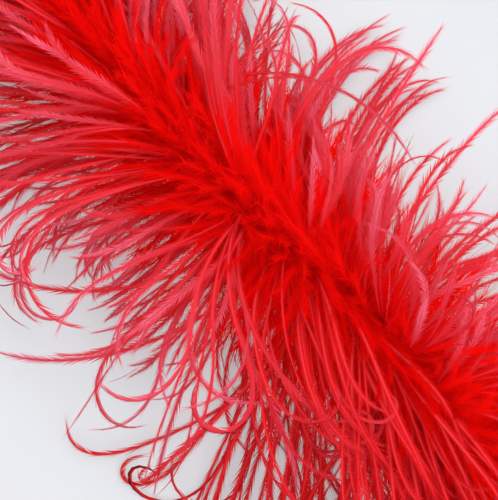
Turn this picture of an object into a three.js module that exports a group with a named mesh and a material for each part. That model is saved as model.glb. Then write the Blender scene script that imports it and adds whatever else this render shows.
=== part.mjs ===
// A feather boa lying on a flat surface in three close runs joined by two U-turns.
// Millimetres, +Z up. The origin is on the surface, under the middle of the whole boa; +X runs along the three runs.
import * as THREE from 'three';

// Where the carrier cord lies, seen from above, from one end of the boa to the other: [x, y].
const routePoints = [
  [-172, -242], [-120, -249], [-62, -253], [-4, -251], [56, -246], [114, -246], [172, -248],
  [232, -232], [277, -187], [294, -124], [278, -62], [233, -15],
  [172, 2], [115, 3], [60, 7], [5, 2], [-52, -2], [-112, 1], [-172, -1],
  [-233, 15], [-278, 62], [-294, 124], [-277, 187], [-232, 232],
  [-172, 248], [-114, 246], [-56, 246], [4, 251], [62, 253], [120, 249], [172, 242],
];
const coreHeight = 25; // of the cord's centre above the surface, on the plumes under it

const cordDiameter = 4;
const cordSides = 8;
const cordSteps = 80;

// The down: a soft round sleeve about the cord, flattened where it rests.
const sleeveCount = 19;
const downRadius = 27;
const downSides = 16;
const sleeveSteps = 5;

// The long flues: a thin fan at each tuft, from the surface up over the cord.
const fanHalfWidth = 95;
const fanHeight = 95;
const fanThickness = 3;
const fanArchPoints = 16;

const passageRadius = 3.4; // of the clear way for the cord through the down and the fans
const passageSides = 8;
const fanClearance = 1; // between a fan and the sleeves on both sides of it
const endMargin = 16; // of bare cord past the last fan

// The whipping that holds each end of the cord, and the loop that comes out of it.
const whippingLength = 13;
const whippingRadius = 3.8;
const whippingBore = 2.5;
const whippingEndWall = 1.5;
const whippingRound = 0.8;
const touchGap = 0.3;
const loopCordRadius = 1.4;
const loopSteps = 36;
const loopSpacing = 1.8; // from the axis to each leg of the loop where it leaves the whipping
// One leg of the loop from the whipping to its far end: [outwards, sideways, drop below the cord's centre].
const loopLeg = [
  [0, loopSpacing, 0], [5, 2.3, 1.2], [11, 4, 5.5], [17, 5.8, 12], [22, 6.6, 18.2], [27, 6.2, 22], [32, 4.2, 23],
];
const loopFarEnd = [34, 0, 23];

const feather = { roughness: 0.75, metalness: 0 };
const downMaterial = new THREE.MeshStandardMaterial({ color: 0xd20d12, ...feather });
const flueMaterial = new THREE.MeshStandardMaterial({ color: 0xd82a44, ...feather });
const cordMaterial = new THREE.MeshStandardMaterial({ color: 0xa80c14, roughness: 0.85, metalness: 0 });
const threadMaterial = new THREE.MeshStandardMaterial({ color: 0xb81420, roughness: 0.6, metalness: 0 });

const route = new THREE.CatmullRomCurve3(routePoints.map(([x, y]) => new THREE.Vector3(x, y, coreHeight)));
route.arcLengthDivisions = 2000;
const routeLength = route.getLength();

// The part of the route from one distance along it to another.
class Stretch extends THREE.Curve {
  constructor(from, to) {
    super();
    this.from = from / routeLength;
    this.to = to / routeLength;
  }

  getPoint(t) {
    return route.getPointAt(THREE.MathUtils.lerp(this.from, this.to, t));
  }
}

function circle(radius, sides) {
  const points = [];
  for (let i = 0; i < sides; i += 1) {
    const angle = ((i + 0.5) / sides) * 2 * Math.PI;
    points.push(new THREE.Vector2(radius * Math.cos(angle), radius * Math.sin(angle)));
  }
  return points;
}

// A section with the clear way for the cord through it.
function withPassage(outline) {
  const section = new THREE.Shape(outline);
  section.holes.push(new THREE.Path(circle(passageRadius, passageSides)));
  return section;
}

function namedMesh(name, geometry, material) {
  const mesh = new THREE.Mesh(geometry, material);
  mesh.name = name;
  return mesh;
}

function carrierCord() {
  const from = whippingEndWall + touchGap;
  const geometry = new THREE.ExtrudeGeometry(new THREE.Shape(circle(cordDiameter / 2, cordSides)), {
    extrudePath: new Stretch(from, routeLength - from),
    steps: cordSteps,
  });
  return namedMesh('carrier_cord', geometry, cordMaterial);
}

// In the section of an extrusion along the route, x points down, so no point of it goes past the surface.
function downSleeve(name, from, to) {
  const outline = circle(downRadius, downSides);
  outline.forEach((point) => {
    point.x = Math.min(point.x, coreHeight);
  });
  const geometry = new THREE.ExtrudeGeometry(withPassage(outline), {
    extrudePath: new Stretch(from, to),
    steps: sleeveSteps,
  });
  return namedMesh(name, geometry, downMaterial);
}

// A half ellipse that stands on the surface, straight across the cord.
function flueFan(name, at) {
  const outline = [];
  for (let i = 0; i <= fanArchPoints; i += 1) {
    const angle = (i / fanArchPoints) * Math.PI;
    outline.push(new THREE.Vector2(fanHalfWidth * Math.cos(angle), fanHeight * Math.sin(angle) - coreHeight));
  }
  const geometry = new THREE.ExtrudeGeometry(withPassage(outline), { depth: fanThickness, bevelEnabled: false });
  geometry.translate(0, 0, -fanThickness / 2);
  return facingAlong(namedMesh(name, geometry, flueMaterial), at, 1);
}

// Places a mesh on the cord with its own z along the route, or back along it, and its own y up.
function facingAlong(mesh, at, direction) {
  const ahead = route.getTangentAt(at / routeLength).multiplyScalar(direction);
  const up = new THREE.Vector3(0, 0, 1);
  mesh.quaternion.setFromRotationMatrix(
    new THREE.Matrix4().makeBasis(new THREE.Vector3().crossVectors(up, ahead), up, ahead),
  );
  mesh.position.copy(route.getPointAt(at / routeLength));
  return mesh;
}

// A cup of wound thread over the end of the cord, closed at its outer end.
function whipping(name, at, direction) {
  const profile = [
    [0, -whippingEndWall], [whippingBore, -whippingEndWall], [whippingBore, -whippingLength],
    [whippingRadius - whippingRound, -whippingLength], [whippingRadius, whippingRound - whippingLength],
    [whippingRadius, -whippingRound], [whippingRadius - whippingRound, 0], [0, 0],
  ];
  const geometry = new THREE.LatheGeometry(profile.map(([r, y]) => new THREE.Vector2(r, y)), 16);
  geometry.rotateX(Math.PI / 2);
  return facingAlong(namedMesh(name, geometry, threadMaterial), at, direction);
}

// The loop leaves the end of the whipping by two legs and drops to the surface.
function endLoop(name, at, direction) {
  const leg = (side) => loopLeg.map(([out, sideways, drop]) => new THREE.Vector3(side * sideways, -drop, out));
  const [farOut, farSideways, farDrop] = loopFarEnd;
  const path = new THREE.CatmullRomCurve3([
    ...leg(1), new THREE.Vector3(farSideways, -farDrop, farOut), ...leg(-1).reverse(),
  ]);
  const geometry = new THREE.ExtrudeGeometry(new THREE.Shape(circle(loopCordRadius, cordSides)), {
    extrudePath: path,
    steps: loopSteps,
  });
  geometry.translate(0, 0, touchGap);
  return facingAlong(namedMesh(name, geometry, cordMaterial), at, direction);
}

const boa = new THREE.Group();
boa.add(carrierCord());

const twoDigits = (number) => String(number).padStart(2, '0');
const fanSpacing = (routeLength - 2 * endMargin) / sleeveCount;
const sleeveSetback = fanThickness / 2 + fanClearance;
for (let i = 0; i <= sleeveCount; i += 1) {
  const at = endMargin + i * fanSpacing;
  boa.add(flueFan(`ostrich_fan_${twoDigits(i + 1)}`, at));
  if (i < sleeveCount) {
    boa.add(downSleeve(`marabou_sleeve_${twoDigits(i + 1)}`, at + sleeveSetback, at + fanSpacing - sleeveSetback));
  }
}

for (const [name, at, direction] of [['first', 0, -1], ['last', routeLength, 1]]) {
  boa.add(whipping(`${name}_end_whipping`, at, direction));
  boa.add(endLoop(`${name}_end_loop`, at, direction));
}

export default boa;
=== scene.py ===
# A feather boa on a table in three runs: a twisted cord, a core of down and long curling ostrich flues
import bmesh
import bpy
import math
import numpy as np
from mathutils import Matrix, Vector


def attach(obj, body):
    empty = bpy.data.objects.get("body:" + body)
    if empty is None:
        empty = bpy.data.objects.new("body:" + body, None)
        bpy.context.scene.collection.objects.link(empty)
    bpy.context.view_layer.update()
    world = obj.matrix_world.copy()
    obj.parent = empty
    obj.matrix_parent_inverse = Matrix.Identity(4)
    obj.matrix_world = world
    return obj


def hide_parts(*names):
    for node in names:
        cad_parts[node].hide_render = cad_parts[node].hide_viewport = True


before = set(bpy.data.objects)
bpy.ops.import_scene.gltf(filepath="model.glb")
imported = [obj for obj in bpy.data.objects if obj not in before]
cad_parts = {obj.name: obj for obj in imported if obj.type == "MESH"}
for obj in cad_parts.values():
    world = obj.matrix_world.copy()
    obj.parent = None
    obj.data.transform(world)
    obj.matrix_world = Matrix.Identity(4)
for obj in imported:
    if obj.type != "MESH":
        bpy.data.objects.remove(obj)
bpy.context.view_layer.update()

# where the cord lies, in millimetres from end to end, as in the part's own source
routeMm = [
    (-172, -242), (-120, -249), (-62, -253), (-4, -251), (56, -246), (114, -246), (172, -248),
    (232, -232), (277, -187), (294, -124), (278, -62), (233, -15),
    (172, 2), (115, 3), (60, 7), (5, 2), (-52, -2), (-112, 1), (-172, -1),
    (-233, 15), (-278, 62), (-294, 124), (-277, 187), (-232, 232),
    (-172, 248), (-114, 246), (-56, 246), (4, 251), (62, 253), (120, 249), (172, 242),
]
mm = 0.001

boaValues = {
    "coreHeight": 25 * mm,
    "smoothing": 40,        # points between two of the route's own
    "sections": 20,         # tufted stretches, one for each fan of the frame
    "endMargin": 16 * mm,   # bare cord past the last tuft
    "fineFrom": 0.70,       # the stretch of the middle run with the finest flues, in metres along the cord
    "fineTo": 1.11,
    "offTable": 0.3 * mm,   # the least gap under a feather
    "dyeRows": 8,           # strips of the feathers' map, from the deepest dye to the palest
    "mapRoot": 0.02,        # where a feather's root lies on its strip
    "mapLength": 0.93,      # and how much of the strip it takes
}


# small tools

def deselectAll():
    if bpy.context.object and bpy.context.object.mode != "OBJECT":
        bpy.ops.object.mode_set(mode="OBJECT")
    bpy.ops.object.select_all(action="DESELECT")


def catmullRom(points, perStretch):
    # the same centripetal curve through the points as the frame's cord follows
    p = [np.array(q, float) for q in points]
    p = [2 * p[0] - p[1]] + p + [2 * p[-1] - p[-2]]
    out = []
    for i in range(1, len(p) - 2):
        a, b, c, d = p[i - 1:i + 3]
        t0, t1, t2 = (max(np.linalg.norm(y - x), 1e-9) ** 0.5 for x, y in ((a, b), (b, c), (c, d)))
        m1 = ((b - a) / t0 - (c - a) / (t0 + t1) + (c - b) / t1) * t1
        m2 = ((c - b) / t1 - (d - b) / (t1 + t2) + (d - c) / t2) * t1
        for k in range(perStretch):
            t = k / perStretch
            out.append(
                b + m1 * t + (3 * (c - b) - 2 * m1 - m2) * t * t + (2 * (b - c) + m1 + m2) * t ** 3
            )
    out.append(p[-2])
    return np.array(out)


def unit(v):
    return v / np.maximum(np.linalg.norm(v, axis=-1, keepdims=True), 1e-12)


class Route:
    # the cord's centreline, asked by distance along it
    def __init__(self, points):
        self.points = points
        steps = np.linalg.norm(np.diff(points, axis=0), axis=1)
        self.far = np.concatenate([[0], np.cumsum(steps)])
        self.length = self.far[-1]

    def at(self, s):
        return np.stack([np.interp(s, self.far, self.points[:, i]) for i in range(3)], axis=-1)

    def along(self, s):
        return unit(self.at(np.asarray(s) + 0.002) - self.at(np.asarray(s) - 0.002))


flat = catmullRom(routeMm, boaValues["smoothing"]) * mm
route = Route(np.column_stack([flat, np.full(len(flat), boaValues["coreHeight"])]))
print("cord length", round(route.length, 4))


def newPiece(name, verts, faceSizes, corners, uv, material, normals=None):
    mesh = bpy.data.meshes.new(name)
    mesh.vertices.add(len(verts))
    mesh.vertices.foreach_set("co", np.ascontiguousarray(verts, np.float32).ravel())
    mesh.loops.add(len(corners))
    mesh.loops.foreach_set("vertex_index", corners.astype(np.int32))
    mesh.polygons.add(len(faceSizes))
    starts = np.concatenate([[0], np.cumsum(faceSizes)[:-1]]).astype(np.int32)
    mesh.polygons.foreach_set("loop_start", starts)
    mesh.update(calc_edges=True)
    mesh.polygons.foreach_set("use_smooth", np.ones(len(faceSizes), bool))
    layer = mesh.uv_layers.new(name="OFBake")
    layer.uv.foreach_set("vector", np.ascontiguousarray(uv[corners], np.float32).ravel())
    if normals is not None:
        mesh.normals_split_custom_set_from_vertices(normals)
    mesh.materials.append(material)
    piece = bpy.data.objects.new(name, mesh)
    bpy.context.collection.objects.link(piece)
    return piece


def standFor(piece, node):
    # the piece rides on the boa's one body in place of a node of the frame
    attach(piece, "root")
    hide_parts(node)


# camera, light and table

viewValues = {
    "lens": 100,
    "height": 0.53,            # it looks straight down
    "aim": (0.0106, -0.0097),  # just off the middle of the boa
    "turn": 48.9,              # degrees, so the middle run crosses the view from corner to corner
}


def makeCamera():
    data = bpy.data.cameras.new("camera")
    data.lens = viewValues["lens"]
    camera = bpy.data.objects.new("camera", data)
    bpy.context.collection.objects.link(camera)
    camera.location = (*viewValues["aim"], viewValues["height"])
    camera.rotation_euler = (0, 0, math.radians(viewValues["turn"]))
    bpy.context.scene.camera = camera


def makeSun(name, place, strength, softness, colour):
    data = bpy.data.lights.new(name, "SUN")
    data.energy = strength
    data.angle = math.radians(softness)
    data.color = colour
    sun = bpy.data.objects.new(name, data)
    bpy.context.collection.objects.link(sun)
    sun.rotation_euler = Vector(place).to_track_quat("Z", "Y").to_euler()


stageValues = {
    "table": 12, "paint": (0.27, 0.287, 0.30), "roughness": 0.7,
    "glow": (0.94, 0.975, 1.0), "glowStrength": 0.345,  # a light table, so the shadows stay pale
    "sky": (0.93, 0.965, 1.0), "skyStrength": 1.0,
    # where each sun stands, its strength, its width in degrees and its colour
    "suns": {
        "key": ((-0.25, 0.7, 0.9), 2.55, 50, (1.0, 0.99, 0.97)),
        "fill": ((0.3, -0.2, 1.0), 1.35, 80, (0.96, 0.98, 1.0)),
    },
}


def makeStage():
    deselectAll()
    bpy.ops.mesh.primitive_plane_add(size=stageValues["table"], location=(0, 0, 0))
    table = bpy.context.object
    table.name = "table"
    paint = bpy.data.materials.new("tableWhite")
    paint.use_nodes = True
    shader = paint.node_tree.nodes["Principled BSDF"]
    shader.inputs["Base Color"].default_value = (*stageValues["paint"], 1)
    shader.inputs["Roughness"].default_value = stageValues["roughness"]
    shader.inputs["Emission Color"].default_value = (*stageValues["glow"], 1)
    shader.inputs["Emission Strength"].default_value = stageValues["glowStrength"]
    table.data.materials.append(paint)
    world = bpy.data.worlds.new("studio")
    bpy.context.scene.world = world
    world.use_nodes = True
    background = world.node_tree.nodes["Background"]
    background.inputs["Color"].default_value = (*stageValues["sky"], 1)
    background.inputs["Strength"].default_value = stageValues["skyStrength"]
    for name, (place, strength, softness, colour) in stageValues["suns"].items():
        makeSun(name, place, strength, softness, colour)
    bpy.context.scene.view_settings.view_transform = "Standard"


makeCamera()
makeStage()
print("camera and stage made")


# the twisted cord, its whippings and loops

cordValues = {
    "strands": 3, "strandRadius": 1.05 * mm,
    "lay": 0.95 * mm,       # from the cord's centre to each strand's
    "turn": 11 * mm, "sides": 5, "stepsPerTurn": 6,
    "endInset": 1.8 * mm,   # the cord stops inside each whipping
    "points": 700,
}


def framesAlong(points):
    # tangents and a pair of crosswise directions that turn as little as possible
    tangent = unit(np.gradient(points, axis=0))
    side = np.zeros_like(points)
    side[0] = unit(np.cross(tangent[0], (0, 0, 1)))
    for i in range(1, len(points)):
        side[i] = unit(side[i - 1] - tangent[i] * np.dot(side[i - 1], tangent[i]))
    return tangent, side, np.cross(tangent, side)


def tubeAlong(points, radius, sides):
    # a closed tube: rings joined by quads, a flat face on each end
    tangent, side, other = framesAlong(points)
    angle = np.arange(sides) / sides * 2 * math.pi
    ring = np.cos(angle)[None, :, None] * side[:, None] + np.sin(angle)[None, :, None] * other[:, None]
    verts = (points[:, None] + ring * radius).reshape(-1, 3)
    rings = len(points)
    i, j = np.meshgrid(np.arange(rings - 1), np.arange(sides), indexing="ij")
    here = i * sides + j
    beside = i * sides + (j + 1) % sides
    quads = np.stack([here, beside, beside + sides, here + sides], axis=-1).reshape(-1, 4)
    caps = np.array([np.arange(sides)[::-1], (rings - 1) * sides + np.arange(sides)])
    u = np.repeat(np.arange(rings) / (rings - 1), sides)  # the map runs along the tube and round it
    v = np.tile(0.1 + 0.8 * np.arange(sides) / sides, rings)
    return verts, quads, caps, np.column_stack([u, v])


def ropeAlong(name, points, values, material):
    # strands laid round the centreline
    steps = np.linalg.norm(np.diff(points, axis=0), axis=1)
    far = np.concatenate([[0], np.cumsum(steps)])
    count = int(far[-1] / values["turn"] * values["stepsPerTurn"])
    s = np.linspace(0, far[-1], count)
    line = np.stack([np.interp(s, far, points[:, i]) for i in range(3)], axis=-1)
    tangent, side, other = framesAlong(line)
    verts, sizes, corners, uvs, base = [], [], [], [], 0
    for strand in range(values["strands"]):
        angle = s / values["turn"] * 2 * math.pi + strand / values["strands"] * 2 * math.pi
        centre = line + values["lay"] * (np.cos(angle)[:, None] * side + np.sin(angle)[:, None] * other)
        v, quads, caps, uv = tubeAlong(centre, values["strandRadius"], values["sides"])
        verts.append(v)
        uvs.append(uv)
        sizes += [4] * len(quads) + [values["sides"]] * 2
        corners.append(np.concatenate([quads.ravel(), caps.ravel()]) + base)
        base += len(v)
    return newPiece(
        name, np.concatenate(verts), np.array(sizes), np.concatenate(corners), np.concatenate(uvs), material
    )


def maths(tree, kind, a, b=None, clamp=False):
    # one Math node; a and b are sockets or plain numbers
    node = tree.nodes.new("ShaderNodeMath")
    node.operation = kind
    node.use_clamp = clamp
    for socket, value in zip(node.inputs, (a, b)):
        if value is None:
            continue
        if isinstance(value, (int, float)):
            socket.default_value = value
        else:
            tree.links.new(value, socket)
    return node.outputs[0]


def blended(tree, share, a, b):
    node = tree.nodes.new("ShaderNodeMix")
    node.data_type = "RGBA"
    for value, socket in ((share, "Factor"), (a, "A"), (b, "B")):
        tree.links.new(value, node.inputs[socket])
    return node.outputs["Result"]


def newGroup(name, inputs, outputs):
    group = bpy.data.node_groups.new(name, "ShaderNodeTree")
    for label, value in inputs:
        kind = "NodeSocketFloat" if isinstance(value, float) else "NodeSocketColor"
        socket = group.interface.new_socket(name=label, in_out="INPUT", socket_type=kind)
        socket.default_value = value
    for label, kind in outputs:
        group.interface.new_socket(name=label, in_out="OUTPUT", socket_type=kind)
    return group, group.nodes.new("NodeGroupInput"), group.nodes.new("NodeGroupOutput")


def spunFibreGroup():
    # dyed yarn: fibres run along it, darker where they sink in: the mottling is the yarn's own, and the
    # dark in the bump's hollows is painted shade
    group, given, result = newGroup(
        "spunFibre",
        (
            ("Deep", (0.3, 0.01, 0.01, 1)), ("Raised", (0.5, 0.02, 0.02, 1)),
            ("Grain", 900.0), ("Streaks", 60.0),
        ),
        (("Color", "NodeSocketColor"), ("Roughness", "NodeSocketFloat"), ("Height", "NodeSocketFloat")),
    )
    place = group.nodes.new("ShaderNodeTexCoord")
    speckle = group.nodes.new("ShaderNodeTexNoise")
    speckle.inputs["Detail"].default_value = 4
    group.links.new(place.outputs["Object"], speckle.inputs["Vector"])
    group.links.new(given.outputs["Grain"], speckle.inputs["Scale"])
    unrolled = group.nodes.new("ShaderNodeUVMap")
    unrolled.uv_map = "OFBake"
    stretch = group.nodes.new("ShaderNodeMapping")
    stretch.inputs["Scale"].default_value = (1, 0.4, 1)
    group.links.new(unrolled.outputs["UV"], stretch.inputs["Vector"])
    fibre = group.nodes.new("ShaderNodeTexNoise")
    fibre.inputs["Detail"].default_value = 3
    group.links.new(stretch.outputs["Vector"], fibre.inputs["Vector"])
    group.links.new(given.outputs["Streaks"], fibre.inputs["Scale"])
    both = maths(group, "ADD", maths(group, "MULTIPLY", speckle.outputs[0], 0.6),
                 maths(group, "MULTIPLY", fibre.outputs[0], 0.4))
    height = maths(group, "MULTIPLY", maths(group, "SUBTRACT", both, 0.3), 2.2, clamp=True)
    # painted shade: the bump's own height mixes the colours, so its hollows are painted darker
    colour = blended(group, height, given.outputs["Deep"], given.outputs["Raised"])
    roughness = maths(group, "ADD", maths(group, "MULTIPLY", height, 0.2), 0.65)
    group.links.new(colour, result.inputs["Color"])
    group.links.new(roughness, result.inputs["Roughness"])
    group.links.new(height, result.inputs["Height"])
    return group


spunFibre = spunFibreGroup()


def yarnMaterial(name, deep, raised, grain, streaks, relief):
    material = bpy.data.materials.new(name)
    material.use_nodes = True
    nodes, links = material.node_tree.nodes, material.node_tree.links
    shader = nodes["Principled BSDF"]
    yarn = nodes.new("ShaderNodeGroup")
    yarn.node_tree = spunFibre
    yarn.inputs["Deep"].default_value = (*deep, 1)
    yarn.inputs["Raised"].default_value = (*raised, 1)
    yarn.inputs["Grain"].default_value = grain
    yarn.inputs["Streaks"].default_value = streaks
    bump = nodes.new("ShaderNodeBump")
    bump.inputs["Strength"].default_value = relief
    bump.inputs["Distance"].default_value = 0.2 * mm
    links.new(yarn.outputs["Color"], shader.inputs["Base Color"])
    links.new(yarn.outputs["Roughness"], shader.inputs["Roughness"])
    links.new(yarn.outputs["Height"], bump.inputs["Height"])
    links.new(bump.outputs["Normal"], shader.inputs["Normal"])
    shader.inputs["Sheen Weight"].default_value = 0.1
    shader.inputs["Sheen Tint"].default_value = (*raised, 1)
    shader.inputs["Specular IOR Level"].default_value = 0.25
    return material


cordCotton = yarnMaterial(
    "cordCotton", deep=(0.30, 0.004, 0.006), raised=(0.58, 0.018, 0.024),
    grain=1400.0, streaks=90.0, relief=0.6,
)
threadRed = yarnMaterial(
    "threadRed", deep=(0.38, 0.004, 0.008), raised=(0.66, 0.014, 0.026),
    grain=2600.0, streaks=160.0, relief=0.3,
)

endInset = cordValues["endInset"]
cordLine = route.at(np.linspace(endInset, route.length - endInset, cordValues["points"]))
carrierCord = ropeAlong("carrier_cord_twisted", cordLine, cordValues, cordCotton)
standFor(carrierCord, "carrier_cord")
print("cord made")

# the whipping at each end: a rounded core with thread wound on it, and the loop that comes out of it
whippingValues = {
    # place along it and radius, in mm
    "core": ((-13, 2.6), (-12.6, 3.1), (-11.8, 3.3), (-1.0, 3.3), (-0.3, 2.9), (0.0, 2.2)),
    "sides": 20,
    "thread": 0.36 * mm, "threadSides": 6, "windRadius": 3.5 * mm, "turns": 17, "stepsPerTurn": 14,
    "from": -12.2 * mm, "to": -0.8 * mm,
    "wander": 0.1 * mm,     # of the turns from their even places
    "tuck": 0.7 * mm,       # how far in the thread's ends go
    "mapLength": 14 * mm,
}
loopValues = {
    "strands": 2, "strandRadius": 0.78 * mm, "lay": 0.62 * mm, "turn": 6.5 * mm, "sides": 7,
    "stepsPerTurn": 8, "smoothing": 10,  # points between two of the path's own
}
# one leg of the loop as in the part's own source: outwards, sideways and down, in mm
loopLeg = (
    (-2, 1.6, 0), (0, 1.8, 0), (5, 2.3, 1.2), (11, 4, 5.5), (17, 5.8, 12), (22, 6.6, 18.2), (27, 6.2, 22),
    (32, 4.2, 23),
)
loopFarEnd = (34, 0, 23)


def atEnd(last, points):
    # from sideways, up and outwards at an end of the cord to the shared frame
    ahead = route.along(route.length) if last else -route.along(0.0)
    up = np.array([0, 0, 1.0])
    axes = np.array([np.cross(up, ahead), up, ahead])
    return route.at(route.length if last else 0.0) + np.asarray(points) @ axes


def whippingCore():
    # a disc drawn out ring by ring
    deselectAll()
    (z, radius), *rest = whippingValues["core"]
    bpy.ops.mesh.primitive_circle_add(
        vertices=whippingValues["sides"], radius=radius * mm, fill_type="NGON", location=(0, 0, 0)
    )
    core = bpy.context.object
    bpy.ops.object.mode_set(mode="EDIT")
    bpy.ops.mesh.select_all(action="SELECT")
    bpy.ops.transform.translate(value=(0, 0, z * mm))
    for nextZ, nextRadius in rest:
        bpy.ops.mesh.extrude_region()
        bpy.ops.transform.translate(value=(0, 0, (nextZ - z) * mm))
        grow = nextRadius / radius
        bpy.ops.transform.resize(value=(grow, grow, 1), center_override=(0, 0, nextZ * mm))
        z, radius = nextZ, nextRadius
    bpy.ops.mesh.select_all(action="SELECT")
    bpy.ops.mesh.normals_make_consistent(inside=False)
    bpy.ops.object.mode_set(mode="OBJECT")
    return core


def whippingArrays():
    # the core and the thread wound on it, in one
    core = whippingCore()
    verts = np.array([v.co for v in core.data.vertices])
    sizes = np.array([len(p.vertices) for p in core.data.polygons])
    corners = np.array([i for p in core.data.polygons for i in p.vertices])
    turned = np.arctan2(verts[:, 1], verts[:, 0]) / (2 * math.pi) + 0.5
    uv = np.column_stack([verts[:, 2] / whippingValues["mapLength"] + 1, turned])
    bpy.data.objects.remove(core)
    t = np.linspace(0, 1, whippingValues["turns"] * whippingValues["stepsPerTurn"])
    angle = t * whippingValues["turns"] * 2 * math.pi
    wander = whippingValues["wander"] * np.sin(angle * 0.37) * np.sin(angle * 1.3)
    z = whippingValues["from"] + (whippingValues["to"] - whippingValues["from"]) * t + wander
    # 0 at the thread's two ends, 1 from a quarter of a turn on
    out = np.clip(np.minimum(t, 1 - t) * whippingValues["turns"] * 4, 0, 1)
    radius = whippingValues["windRadius"] - (1 - out) * whippingValues["tuck"]
    wound = np.column_stack([radius * np.cos(angle), radius * np.sin(angle), z])
    sides = whippingValues["threadSides"]
    v, quads, caps, threadUv = tubeAlong(wound, whippingValues["thread"], sides)
    threadSizes = np.array([4] * len(quads) + [sides] * 2)
    threadCorners = np.concatenate([quads.ravel(), caps.ravel()]) + len(verts)
    both = ((verts, v), (sizes, threadSizes), (corners, threadCorners), (uv, threadUv))
    return [np.concatenate(pair) for pair in both]


def loopPath():
    # out by one leg and back by the other, in mm
    leg = [(sideways, -drop, out) for out, sideways, drop in loopLeg]
    farOut, farSideways, farDrop = loopFarEnd
    return leg + [(farSideways, -farDrop, farOut)] + [(-x, y, z) for x, y, z in leg[::-1]]


endPieces = []
whippingMade = whippingArrays()
for last, end in ((False, "first"), (True, "last")):
    verts, sizes, corners, uv = whippingMade
    whipping = newPiece(f"{end}_end_whipping_wound", atEnd(last, verts), sizes, corners, uv, threadRed)
    loopLine = atEnd(last, catmullRom(loopPath(), loopValues["smoothing"]) * mm)
    loop = ropeAlong(f"{end}_end_loop_twisted", loopLine, loopValues, cordCotton)
    standFor(whipping, f"{end}_end_whipping")
    standFor(loop, f"{end}_end_loop")
    endPieces += [whipping, loop]
print("whippings and loops made")


# feather masters: one of each is modelled straight along +Y, then copied and bent

def selectEdges(mesh, wanted):
    # picks edges by their place, in edge mode
    bpy.context.tool_settings.mesh_select_mode = (False, True, False)
    bm = bmesh.from_edit_mesh(mesh)
    for item in (*bm.verts, *bm.edges, *bm.faces):
        item.select = False
    for edge in bm.edges:
        edge.select = wanted(*(v.co for v in edge.verts))
    bm.select_flush_mode()
    bmesh.update_edit_mesh(mesh)


def startStrip(name, length, pitch, width):
    # a narrow strip of short faces along +Y
    deselectAll()
    bpy.ops.mesh.primitive_grid_add(
        x_subdivisions=1, y_subdivisions=round(length / pitch), size=1, location=(0, 0, 0)
    )
    strip = bpy.context.object
    strip.name = name
    bpy.ops.object.mode_set(mode="EDIT")
    bpy.ops.mesh.select_all(action="SELECT")
    bpy.ops.transform.translate(value=(0, 0.5, 0))
    bpy.ops.transform.resize(value=(width, length, 1), center_override=(0, 0, 0))
    return strip


def masterFeather(name, length, pitch, width, left, right, forward, seed):
    # a pointed barb grows from every stretch of both edges of the shaft
    feather = startStrip(name, length, pitch, width)
    for side, reach in ((-1, left), (1, right)):
        for parity in (0, 1):  # every second one at a time, so that no two touch

            def onRail(a, b):
                level = int(round((a.y + b.y) / 2 / pitch - 0.5))
                onEdge = abs(a.x + b.x - side * width) < 1e-6 and abs(a.x - b.x) < 1e-6
                return onEdge and level % 2 == parity

            selectEdges(feather.data, onRail)
            bpy.ops.mesh.extrude_edges_indiv()
            bpy.ops.transform.translate(value=(side * reach, forward, 0))
            bpy.ops.mesh.merge(type="COLLAPSE")
    bpy.ops.object.mode_set(mode="OBJECT")
    jitterTips(feather, width, seed)
    return feather


# how far the barbs differ, as a share of their reach
barbValues = {"reach": 0.3, "forward": 0.3, "lift": 0.25}
offShaftFrom = 0.6  # a point further out than this share of the shaft's width is a barb's


def jitterTips(feather, width, seed):
    # no two barbs alike: each point off the shaft gets its own reach and lift
    dice = np.random.default_rng(seed)
    for v in feather.data.vertices:
        if abs(v.co.x) > width * offShaftFrom:
            stretch = 1 + barbValues["reach"] * dice.uniform(-1, 1)
            v.co.x *= stretch
            v.co.y += barbValues["forward"] * abs(v.co.x) * dice.uniform(-1, 1)
            v.co.z += barbValues["lift"] * abs(v.co.x) * dice.uniform(-1, 1)


class Master:
    # the arrays of a modelled master, ready to be copied
    def __init__(self, piece, length, shaftWidth, reach, taper):
        mesh = piece.data
        self.verts = np.array([v.co for v in mesh.vertices])
        self.sizes = np.array([len(p.vertices) for p in mesh.polygons])
        self.corners = np.array([i for p in mesh.polygons for i in p.vertices])
        self.u = self.verts[:, 1] / length
        along = np.clip(self.u, 0, 1)
        offShaft = np.abs(self.verts[:, 0]) > shaftWidth * offShaftFrom
        scale = np.where(offShaft, taper(along), 1 - along ** 6)  # the shaft thins only near its tip
        self.across = self.verts[:, 0] * scale
        self.lift = self.verts[:, 2] * scale
        # where a point lies between the shaft (0.5) and the barb tips (0 and 1)
        self.w = 0.5 + np.clip(0.45 * self.verts[:, 0] / reach, -0.45, 0.45)
        bpy.data.objects.remove(piece)


def makeMasters(name, values, taper):
    # one of each kind, coarse and fine
    masters = []
    for fine in (0, 1):
        row = []
        for i, (left, right, forward) in enumerate(values["kinds"]):
            feather = masterFeather(
                f"{name}{fine}{i}", values["length"], values["pitch"][fine], values["shaft"], left * mm,
                right * mm, forward * mm * values["forward"][fine], values["masterSeed"] + i,
            )
            row.append(Master(feather, values["length"], values["shaft"], values["widest"], taper))
        masters.append(row)
    print(name, "faces, coarse and fine", [[len(m.sizes) for m in row] for row in masters])
    return masters


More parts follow.
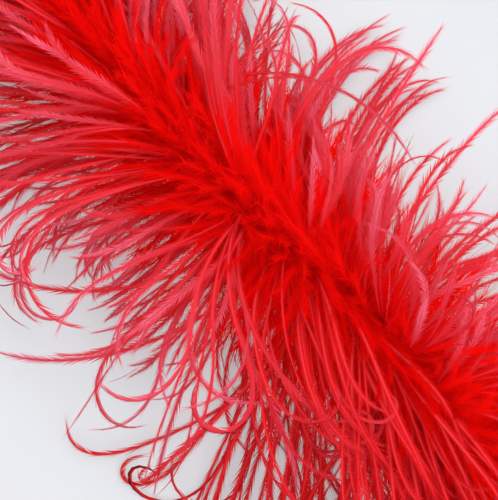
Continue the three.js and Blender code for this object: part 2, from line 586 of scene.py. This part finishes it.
def layAlong(master, lines, sides, lifts, rows, heart, fluff, rampShare):
    # copies of a master bent along each line; rows picks the strip of the map that colours a copy, and the
    # last argument is the share of the strip that it takes, less of it keeping a copy darker as painted
    # shade
    # fluff says how far its shading follows the whole round boa about heart instead of its own flat face
    n, steps = lines.shape[:2]
    place = np.clip(master.u, 0, 1) * (steps - 1)
    low = np.minimum(place.astype(int), steps - 2)
    share = (place - low)[None, :, None]
    over = np.clip(master.u - 1, 0, None)[None, :, None]
    lengths = np.linalg.norm(np.diff(lines, axis=1), axis=2).sum(1)

    def mixed(field):
        return field[:, low] * (1 - share) + field[:, low + 1] * share

    ends = unit(lines[:, -1] - lines[:, -2])[:, None] * lengths[:, None, None] * over
    across, lift = mixed(sides), mixed(lifts)
    verts = mixed(lines) + ends + across * master.across[None, :, None] + lift * master.lift[None, :, None]
    normals = unit(lift * (1 - fluff) + unit(verts - heart[:, None]) * fluff)
    uv = np.empty((n, len(master.u), 2))
    uv[..., 0] = boaValues["mapRoot"] + boaValues["mapLength"] * rampShare[:, None] * np.clip(master.u, 0, 1.03)
    uv[..., 1] = (rows[:, None] + master.w[None, :]) / boaValues["dyeRows"]
    count = verts.shape[1]
    corners = (master.corners[None, :] + np.arange(n)[:, None] * count).ravel()
    sizes = np.tile(master.sizes, n)
    return verts.reshape(-1, 3), sizes, corners, uv.reshape(-1, 2), normals.reshape(-1, 3)


def layKinds(masters, kind, lines, sides, lifts, rows, heart, fluff, rampShare):
    # each line's copy is of its own kind of feather
    chosen = [kind == k for k in range(len(masters))]
    return [
        layAlong(master, lines[c], sides[c], lifts[c], rows[c], heart[c], fluff, rampShare[c])
        for master, c in zip(masters, chosen)
    ]


def joined(parts):
    base, verts, sizes, corners, uv, normals = 0, [], [], [], [], []
    for v, s, c, m, n in parts:
        verts.append(v)
        sizes.append(s)
        corners.append(c + base)
        uv.append(m)
        normals.append(n)
        base += len(v)
    return tuple(np.concatenate(lists) for lists in (verts, sizes, corners, uv, normals))


# how a flue grows: out from the cord, over under its own weight, curling at the tip

def growLines(roots, aims, lengths, droop, arc, hook, hookFrom, curlAxis, clearance, steps, waver):
    # arc bends a line evenly, hook bends it past hookFrom, both about curlAxis in radians per metre
    n = len(roots)
    lines = np.empty((n, steps, 3))
    heading = unit(aims)
    lines[:, 0] = roots
    step = (lengths / (steps - 1))[:, None]
    down = np.array([0, 0, -1.0])
    for k in range(1, steps):
        t = k / (steps - 1)
        pull = droop[:, None] * t ** 0.8  # its weight bends it more and more
        hooked = np.clip((t - hookFrom) / (1 - hookFrom), 0, 1) ** 0.7 * hook
        turning = np.cross(curlAxis, heading) * (arc + hooked + waver * math.sin(9 * t + 1))[:, None]
        heading = unit(heading + (down * pull + turning) * step)
        place = lines[:, k - 1] + heading * step
        # one that reaches the table lies along it
        under = place[:, 2] < clearance
        heading[under, 2] = np.maximum(heading[under, 2], 0.02)
        settled = (lines[under, k - 1, 2] + clearance[under]) / 2
        place[under, 2] = np.maximum(settled, clearance[under])
        heading = unit(heading)
        lines[:, k] = place
    return lines


def bandFrames(lines, roll, twist):
    # sideways and lifting directions along each line, turned by roll all along and by twist more at its tip
    n, steps = lines.shape[:2]
    tangent = unit(np.gradient(lines, axis=1))
    side = np.empty_like(lines)
    start = np.cross(tangent[:, 0], (0, 0, 1))
    start[np.linalg.norm(start, axis=1) < 0.05] = (0, 1, 0)  # one that starts straight up
    side[:, 0] = unit(start)
    for k in range(1, steps):
        t = tangent[:, k]
        side[:, k] = unit(side[:, k - 1] - t * (side[:, k - 1] * t).sum(1, keepdims=True))
    lift = np.cross(side, tangent)
    angle = (roll[:, None] + twist[:, None] * np.linspace(0, 1, steps)[None])[..., None]
    side, lift = side * np.cos(angle) + lift * np.sin(angle), lift * np.cos(angle) - side * np.sin(angle)
    facing = np.where(lift[:, :, 2].sum(1) < 0, -1, 1)[:, None, None]  # the flat faces up
    return side * facing, lift * facing


# feather colours

def dyedFeatherGroup():
    # dye along a feather's length: deep at the root, lighter at the tip and on the barbs, with fine streaks
    group, given, result = newGroup(
        "dyedFeather",
        (
            ("Root", (0.8, 0.01, 0.01, 1)), ("Tip", (0.8, 0.1, 0.15, 1)),
            ("Root Shaft", (0.8, 0.03, 0.05, 1)), ("Tip Shaft", (0.6, 0.01, 0.03, 1)),
            ("Rows", float(boaValues["dyeRows"])), ("Shaft Width", 0.1), ("Streaks", 0.3),
            ("Deep To", 0.3), ("Ramp", 2.0),
        ),
        (("Color", "NodeSocketColor"), ("Roughness", "NodeSocketFloat")),
    )
    place = group.nodes.new("ShaderNodeUVMap")
    place.uv_map = "OFBake"
    split = group.nodes.new("ShaderNodeSeparateXYZ")
    group.links.new(place.outputs["UV"], split.inputs["Vector"])
    rows = maths(group, "MULTIPLY", split.outputs["Y"], given.outputs["Rows"])
    tone = maths(group, "DIVIDE", maths(group, "FLOOR", rows), given.outputs["Rows"])
    fromShaft = maths(group, "ABSOLUTE", maths(group, "SUBTRACT", maths(group, "FRACT", rows), 0.5))
    offShaft = maths(group, "MULTIPLY", fromShaft, 2.0)
    pastDeep = maths(group, "SUBTRACT", split.outputs["X"], given.outputs["Deep To"])
    toTip = maths(group, "MULTIPLY", pastDeep, given.outputs["Ramp"], clamp=True)
    paler = maths(group, "ADD", maths(group, "POWER", tone, 1.6), maths(group, "MULTIPLY", offShaft, 0.4))
    lighter = maths(group, "MULTIPLY", toTip, maths(group, "ADD", paler, 0.15), clamp=True)
    body = blended(group, lighter, given.outputs["Root"], given.outputs["Tip"])
    outOfShaft = maths(group, "DIVIDE", offShaft, given.outputs["Shaft Width"])
    onShaft = maths(group, "SUBTRACT", 1.0, outOfShaft, clamp=True)
    shaft = blended(group, toTip, given.outputs["Root Shaft"], given.outputs["Tip Shaft"])
    ribbed = blended(group, maths(group, "MULTIPLY", onShaft, 0.8), body, shaft)
    stretch = group.nodes.new("ShaderNodeMapping")
    stretch.inputs["Scale"].default_value = (14, 160, 1)
    group.links.new(place.outputs["UV"], stretch.inputs["Vector"])
    noise = group.nodes.new("ShaderNodeTexNoise")
    noise.inputs["Scale"].default_value = 1
    noise.inputs["Detail"].default_value = 3
    group.links.new(stretch.outputs["Vector"], noise.inputs["Vector"])
    uneven = maths(group, "SUBTRACT", noise.outputs[0], 0.5)
    streak = maths(group, "MULTIPLY", uneven, given.outputs["Streaks"])
    shaded = group.nodes.new("ShaderNodeHueSaturation")
    group.links.new(maths(group, "ADD", 1.0, maths(group, "MULTIPLY", streak, 2.0)), shaded.inputs["Value"])
    group.links.new(ribbed, shaded.inputs["Color"])
    group.links.new(shaded.outputs["Color"], result.inputs["Color"])
    group.links.new(maths(group, "ADD", 0.62, streak), result.inputs["Roughness"])
    return group


dyedFeather = dyedFeatherGroup()


def featherMaterial(name, colours, values, through, gloss):
    # through is the share of the light that passes through a feather
    material = bpy.data.materials.new(name)
    material.use_nodes = True
    nodes, links = material.node_tree.nodes, material.node_tree.links
    shader = nodes["Principled BSDF"]
    dye = nodes.new("ShaderNodeGroup")
    dye.node_tree = dyedFeather
    for socket, colour in colours.items():
        dye.inputs[socket].default_value = (*colour, 1)
    for socket, value in values.items():
        dye.inputs[socket].default_value = value
    links.new(dye.outputs["Color"], shader.inputs["Base Color"])
    links.new(dye.outputs["Roughness"], shader.inputs["Roughness"])
    shader.inputs["Specular IOR Level"].default_value = gloss
    glow = nodes.new("ShaderNodeBsdfTranslucent")
    links.new(dye.outputs["Color"], glow.inputs["Color"])
    both = nodes.new("ShaderNodeMixShader")
    both.inputs["Fac"].default_value = through
    links.new(shader.outputs["BSDF"], both.inputs[1])
    links.new(glow.outputs["BSDF"], both.inputs[2])
    links.new(both.outputs["Shader"], nodes["Material Output"].inputs["Surface"])
    return material


flueMaterial = featherMaterial(
    "dyedFlue",
    {
        "Root": (0.65, 0.002, 0.003), "Tip": (0.82, 0.155, 0.24),
        "Root Shaft": (0.76, 0.04, 0.065), "Tip Shaft": (0.56, 0.010, 0.035),
    },
    {"Deep To": 0.38, "Ramp": 2.0, "Shaft Width": 0.24, "Streaks": 0.22},
    through=0.45, gloss=0.15,
)
downMaterial = featherMaterial(
    "dyedDown",
    {
        "Root": (0.97, 0.0015, 0.001), "Tip": (0.97, 0.005, 0.003),
        "Root Shaft": (0.94, 0.002, 0.001), "Tip Shaft": (0.94, 0.002, 0.001),
    },
    {"Deep To": 0.3, "Ramp": 2.0, "Shaft Width": 0.1, "Streaks": 0.08},
    through=0.55, gloss=0.03,
)


# the down: short soft plumes all round the cord over a dense bed
downValues = {
    "plumes": (4.1, 7.6),   # per mm of cord, elsewhere and on the fine stretch
    "seed": 5000,
    # the masters: barbs' reach to the left and right, and forward, in mm
    "kinds": ((3.6, 3.6, 7.0), (4.6, 2.6, 6.0), (2.6, 3.8, 8.5)),
    "length": 26 * mm, "shaft": 0.4 * mm, "widest": 6 * mm, "masterSeed": 40,
    "pitch": (1.6 * mm, 0.85 * mm), "forward": (1, 1),  # coarse and fine
    "longShare": 0.55,      # of the plumes, which lie with the flues
    "short": (13 * mm, 27 * mm), "long": (27 * mm, 44 * mm),
    # for the short and for the long ones
    "widestTurn": (180, 115),   # degrees from straight up
    "crowding": (1.9, 0.9),     # more of the short ones on top
    "leanShare": (0.5, 0.9),    # of the flues' lean
    "leanSpread": (26, 9),
    "steps": 12, "rootGap": 4 * mm, "droop": (8, 26), "arcSpread": 6, "hookSpread": 12, "hookFrom": 0.3,
    "clearance": (1, 6),    # over the table, in mm
    "roll": 0.5, "heartDrop": 20 * mm, "fluff": 0.92,
    "bedRadius": 9 * mm, "bedRoughness": 1.1 * mm, "bedSides": 18, "bedStep": 4 * mm,
    "bedMapLength": 0.3, "bedMapFrom": 0.3, "bedMapWidth": 0.1,  # the deep end of the feathers' map
}


def downTaper(t):
    return 0.45 + 0.55 * np.sin(math.pi * np.clip(0.12 + 0.8 * t, 0, 1))


downMasters = makeMasters("plume", downValues, downTaper)


# the flues

flueValues = {
    "flues": (2.85, 4.5),    # per mm of cord, elsewhere and on the fine stretch
    "seed": 8000,
    "kinds": (               # reach of the fringe to the left and right, and forward, in mm
        (1.5, 1.4, 4.0), (1.1, 1.2, 4.4), (1.8, 0.9, 4.2), (0.7, 0.7, 4.0), (1.2, 1.7, 3.8),
    ),
    "kindShares": (0.28, 0.26, 0.2, 0.1, 0.16),
    "length": 90 * mm, "shaft": 0.62 * mm, "widest": 2 * mm, "masterSeed": 10,
    "pitch": (2.4 * mm, 1.15 * mm), "forward": (1.25, 1),  # coarse and fine
    "tuft": (9, 11),         # flues that share a root and a direction
    "turn": (20, 98),        # the least from straight up, and how much more, in degrees
    "turnSpread": 9, "tuftLean": 7, "leanSpread": 9, "rootSpread": 2 * mm,
    "steps": 40, "rootGap": 1.5 * mm,
    "droop": (11, 21), "topDroop": 0.5,  # topDroop is how much more those on top get
    "press": 62 * mm, "crown": 36 * mm,  # the height they press down from, and the most above it
    "short": (52 * mm, 82 * mm), "long": (88 * mm, 124 * mm), "longShare": 0.38,
    "arc": (4.0, -3.0),      # mean bend of the left and right ones, in radians per metre
    "tuftArc": 6, "arcSpread": 4.5, "tuftHook": 26, "hookSpread": 30, "longHook": 1.5, "hookFrom": 0.6,
    "axisSpread": 0.3, "waver": 4,
    "clearance": (1.2 * mm, 9 * mm),     # the least over the table, and how much more
    "clump": (-0.2, 0.7),    # how far a tuft draws together
    "roll": 0.4, "twist": 0.6, "heartDrop": 25 * mm, "fluff": 0.4,
    # where painted shade darkens the flues on the left, in m along the cord, and by how much
    "shadeAlong": (0.72, 0.77, 0.875, 0.905), "shadeShare": 0.5,
}


def flueTaper(t):
    return np.clip(0.3 + 1.4 * t, 0, 1) * np.clip((1.04 - t) * 8, 0.2, 1) ** 0.7


flueMasters = makeMasters("flue", flueValues, flueTaper)

# how the tufts lie along the boa: distance along the cord in m, lean in degrees on its left and right,
# and share of the full reach on its left and right
lie = np.array([
    (0.00, -25, 20, 1.0, 0.9), (0.10, 20, -15, 0.9, 1.0), (0.22, -20, 25, 1.0, 0.95),
    (0.34, 25, -10, 0.9, 1.0), (0.46, -15, 30, 1.0, 0.9), (0.60, 30, -25, 0.95, 1.0),
    (0.70, -35, -10, 0.9, 0.85), (0.76, -56, 2, 0.95, 0.74), (0.81, -52, -4, 1.1, 0.72),
    (0.83, -42, 4, 1.25, 0.76), (0.85, -33, 30, 1.32, 0.78), (0.87, -22, 36, 1.36, 0.8),
    (0.89, -8, 40, 1.2, 0.76), (0.91, 14, 43, 1.02, 0.7), (0.93, 33, 46, 0.94, 0.67),
    (0.96, 47, 48, 0.93, 0.66), (1.00, 56, 49, 0.93, 0.68), (1.06, 56, 42, 0.97, 0.78),
    (1.16, 20, 20, 1.0, 1.0), (1.28, -25, -20, 0.9, 1.0), (1.40, 20, 20, 1.0, 0.9),
    (1.52, -20, -25, 1.0, 1.0), (1.64, 25, 15, 0.95, 1.0), (1.81, -20, 20, 1.0, 0.9),
])
leanColumn, reachColumn = 1, 3
golden = 0.6180339887  # steps of this share of a turn never fall into a pattern


def lieAt(s, column, turn):
    left, right = (np.interp(s, lie[:, 0], lie[:, column + k]) for k in range(2))
    return np.where(turn < 0, left, right)


def isFine(start, end):
    return int(boaValues["fineFrom"] < (start + end) / 2 < boaValues["fineTo"])


def directions(s, turn, lean):
    # out from the cord: turn goes round it from straight up, lean tips it along the cord
    along = route.along(s)
    up = np.array([0, 0, 1.0])
    outward = np.cos(turn)[:, None] * up + np.sin(turn)[:, None] * np.cross(along, up)
    return outward, np.cos(lean)[:, None] * outward + np.sin(lean)[:, None] * along


def clumped(lines, tuft, clump):
    # the flues of a tuft draw together towards its tip
    tufts, steps = len(clump), lines.shape[1]
    mean = np.zeros((tufts, steps, 3))
    np.add.at(mean, tuft, lines)
    mean /= np.bincount(tuft, minlength=tufts)[:, None, None]
    t = np.linspace(0, 1, steps)
    pull = clump[tuft][:, None] * np.sin(math.pi / 2 * t)[None] ** 2
    return lines + (mean[tuft] - lines) * pull[..., None]


# single flues that stray from the tufts: distance along the cord in m, turn and lean in degrees,
# length in mm, and arc and hook in radians per metre
strays = (
    (0.952, 58, -2, 108, -16, 0), (0.944, 48, 4, 100, -17, -10), (0.904, 34, 50, 122, 0, 0),
    (0.8945, 55, 44, 98, -14, -45), (0.877, 66, 17, 96, -2, 0), (0.8546, 68, 16, 92, -3, -6),
    (0.912, -74, 40, 110, 4, 75), (0.900, -78, 0, 122, -11, 0), (0.888, -78, -6, 126, -9, 0),
    (0.898, -72, 12, 114, 3, 85), (0.895, -80, -7, 112, 4, 0), (0.93, -70, 52, 118, 6, 20),
)
strayValues = {"droop": 13.0, "clearance": 6 * mm, "roll": 0.2, "twist": 0.3, "deepest": 3}


def growStrays(start, end, dice):
    chosen = np.array([stray for stray in strays if start <= stray[0] < end])
    if not len(chosen):
        return []
    s, turn, lean, lengths, arc, hook = chosen.T
    count = len(chosen)
    outward, aims = directions(s, np.radians(turn), np.radians(lean))
    middle = route.at(s)
    lines = growLines(
        middle + outward * flueValues["rootGap"], aims, lengths * mm, np.full(count, strayValues["droop"]),
        arc, hook, flueValues["hookFrom"], np.tile((0, 0, 1.0), (count, 1)),
        np.full(count, strayValues["clearance"]), flueValues["steps"], np.zeros(count),
    )
    roll = dice.normal(0, strayValues["roll"], count)
    twist = dice.normal(0, strayValues["twist"], count)
    sides, lifts = bandFrames(lines, roll, twist)
    rows = dice.integers(strayValues["deepest"], boaValues["dyeRows"], count)
    heart = middle - (0, 0, flueValues["heartDrop"])
    rampShare = np.ones(count)
    return [layAlong(flueMasters[1][0], lines, sides, lifts, rows, heart, flueValues["fluff"], rampShare)]


def growSection(index, start, end):
    dice = np.random.default_rng(flueValues["seed"] + index)
    fine = isFine(start, end)
    flues = int((end - start) / mm * flueValues["flues"][fine])
    tufts = flues // flueValues["tuft"][fine]
    # the tufts, on the left and right in turn
    order = np.arange(tufts)
    tuftAt = start + (end - start) * (order + dice.uniform(0.2, 0.8, tufts)) / tufts
    tuftSide = np.where(order % 2 == 0, -1, 1)
    spread = ((order // 2) * golden + dice.uniform(0, 0.2, tufts)) % 1
    tuftTurn = tuftSide * np.radians(flueValues["turn"][0] + flueValues["turn"][1] * spread)
    tuftLean = dice.normal(0, flueValues["tuftLean"], tufts)
    tuftArc = np.where(tuftSide < 0, *flueValues["arc"]) + dice.normal(0, flueValues["tuftArc"], tufts)
    tuftHook = dice.normal(0, 1, tufts) * flueValues["tuftHook"]
    long = dice.uniform(0, 1, tufts) < flueValues["longShare"]
    # the flues of each
    tuft = np.arange(flues) % tufts
    s = np.clip(tuftAt[tuft] + dice.normal(0, flueValues["rootSpread"], flues), start, end)
    turn = tuftTurn[tuft] + np.radians(dice.normal(0, flueValues["turnSpread"], flues))
    lieLean = lieAt(s, leanColumn, turn)
    lean = np.radians(lieLean + tuftLean[tuft] + dice.normal(0, flueValues["leanSpread"], flues))
    outward, aims = directions(s, turn, lean)
    middle = route.at(s)
    low, high = (np.where(long[tuft], flueValues["long"][k], flueValues["short"][k]) for k in range(2))
    lengths = low + (high - low) * dice.uniform(0, 1, flues)
    lengths *= lieAt(s, reachColumn, turn) / np.cos(np.radians(lieLean)) ** 0.7
    droop = dice.uniform(*flueValues["droop"], flues) * (1 + flueValues["topDroop"] * np.cos(turn))
    arc = tuftArc[tuft] + dice.normal(0, flueValues["arcSpread"], flues)
    hook = tuftHook[tuft] + dice.normal(0, flueValues["hookSpread"], flues)
    hook *= np.where(long[tuft], flueValues["longHook"], 1)
    axis = unit(dice.normal(0, flueValues["axisSpread"], (flues, 3)) + (0, 0, 1))
    waver = dice.normal(0, flueValues["waver"], flues)
    leastClear, moreClear = flueValues["clearance"]
    clearance = leastClear + dice.uniform(0, 1, flues) ** 2 * moreClear
    lines = growLines(
        middle + outward * flueValues["rootGap"], aims, lengths, droop, arc, hook, flueValues["hookFrom"],
        axis, clearance, flueValues["steps"], waver,
    )
    lines = clumped(lines, tuft, dice.uniform(*flueValues["clump"], tufts))
    # the tall ones lie down over those under them
    excess = np.clip(lines[..., 2] - flueValues["press"], 0, None)
    lines[..., 2] -= excess - flueValues["crown"] * np.tanh(excess / flueValues["crown"])
    roll, twist = (dice.normal(0, flueValues[name], flues) for name in ("roll", "twist"))
    sides, lifts = bandFrames(lines, roll, twist)
    kind = dice.choice(len(flueValues["kinds"]), flues, p=flueValues["kindShares"])
    # painted shade: the flues on the left of this stretch take less of the ramp and deeper rows, so they
    # stay darker
    paintedShade = np.interp(s, flueValues["shadeAlong"], (0, 1, 1, 0)) * (turn < 0)
    rampShare = 1 - flueValues["shadeShare"] * paintedShade
    rows = np.floor(dice.integers(0, boaValues["dyeRows"], flues) * rampShare)
    heart = middle - (0, 0, flueValues["heartDrop"])
    tufted = layKinds(flueMasters[fine], kind, lines, sides, lifts, rows, heart, flueValues["fluff"], rampShare)
    return joined(growStrays(start, end, dice) + tufted)


def downBed(start, end, dice):
    # a closed uneven body round the cord
    rings = round((end - start) / downValues["bedStep"]) + 1
    points = route.at(np.linspace(start, end, rings))
    verts, quads, caps, uv = tubeAlong(points, downValues["bedRadius"], downValues["bedSides"])
    centre = np.repeat(points, downValues["bedSides"], axis=0)
    normals = unit(verts - centre)
    verts = verts + normals * dice.normal(0, downValues["bedRoughness"], (len(verts), 1))
    sizes = np.array([4] * len(quads) + [downValues["bedSides"]] * 2)
    uv[:, 0] *= downValues["bedMapLength"]
    uv[:, 1] = downValues["bedMapFrom"] + downValues["bedMapWidth"] * uv[:, 1]
    return verts, sizes, np.concatenate([quads.ravel(), caps.ravel()]), uv, normals


def growDown(index, start, end):
    dice = np.random.default_rng(downValues["seed"] + index)
    fine = isFine(start, end)
    plumes = int((end - start) / mm * downValues["plumes"][fine])
    order = np.arange(plumes)
    s = start + (end - start) * (order + 0.5) / plumes
    around = 2 * ((order * golden) % 1) - 1
    long = dice.uniform(0, 1, plumes) < downValues["longShare"]

    def forEach(name):
        short, longer = downValues[name]
        return np.where(long, longer, short)

    turn = np.radians(forEach("widestTurn")) * np.sign(around) * np.abs(around) ** forEach("crowding")
    spread = dice.normal(0, 1, plumes) * forEach("leanSpread")
    lean = np.radians(lieAt(s, leanColumn, turn) * forEach("leanShare") + spread)
    outward, aims = directions(s, turn, lean)
    middle = route.at(s)
    low, high = (np.where(long, downValues["long"][k], downValues["short"][k]) for k in range(2))
    lengths = low + (high - low) * dice.uniform(0, 1, plumes)
    droop = dice.uniform(*downValues["droop"], plumes)
    arc, hook = (dice.normal(0, downValues[name], plumes) for name in ("arcSpread", "hookSpread"))
    axis = unit(dice.normal(0, 1, (plumes, 3)))
    clearance = dice.uniform(*downValues["clearance"], plumes) * mm
    lines = growLines(
        middle + outward * downValues["rootGap"], aims, lengths, droop, arc, hook, downValues["hookFrom"],
        axis, clearance, downValues["steps"], np.zeros(plumes),
    )
    roll, twist = (dice.normal(0, downValues["roll"], plumes) for i in range(2))
    sides, lifts = bandFrames(lines, roll, twist)
    kind = dice.integers(0, len(downValues["kinds"]), plumes)
    rows = dice.integers(0, boaValues["dyeRows"], plumes)
    heart = middle - (0, 0, downValues["heartDrop"])
    fluffed = layKinds(
        downMasters[fine], kind, lines, sides, lifts, rows, heart, downValues["fluff"], np.ones(plumes)
    )
    return joined([downBed(start, end, dice)] + fluffed)


def featherPiece(name, grown, material, node):
    verts, sizes, corners, uv, normals = grown
    verts[:, 2] = np.maximum(verts[:, 2], boaValues["offTable"])
    piece = newPiece(name, verts, sizes, corners, uv, material, normals)
    standFor(piece, node)
    return int((sizes - 2).sum())  # its triangles


total = 0
sections = boaValues["sections"]
stations = np.linspace(boaValues["endMargin"], route.length - boaValues["endMargin"], sections)
edges = np.concatenate([[boaValues["endMargin"]], (stations[1:] + stations[:-1]) / 2, [stations[-1]]])
for i in range(sections):
    number = f"{i + 1:02d}"
    grown = growSection(i, edges[i], edges[i + 1])
    total += featherPiece(
        f"ostrich_flues_{number}", grown, flueMaterial, f"ostrich_fan_{number}"
    )
print("flue triangles", total)

for i in range(sections - 1):
    number = f"{i + 1:02d}"
    grown = growDown(i, stations[i], stations[i + 1])
    total += featherPiece(
        f"marabou_down_{number}", grown, downMaterial, f"marabou_sleeve_{number}"
    )
print("all triangles", total)
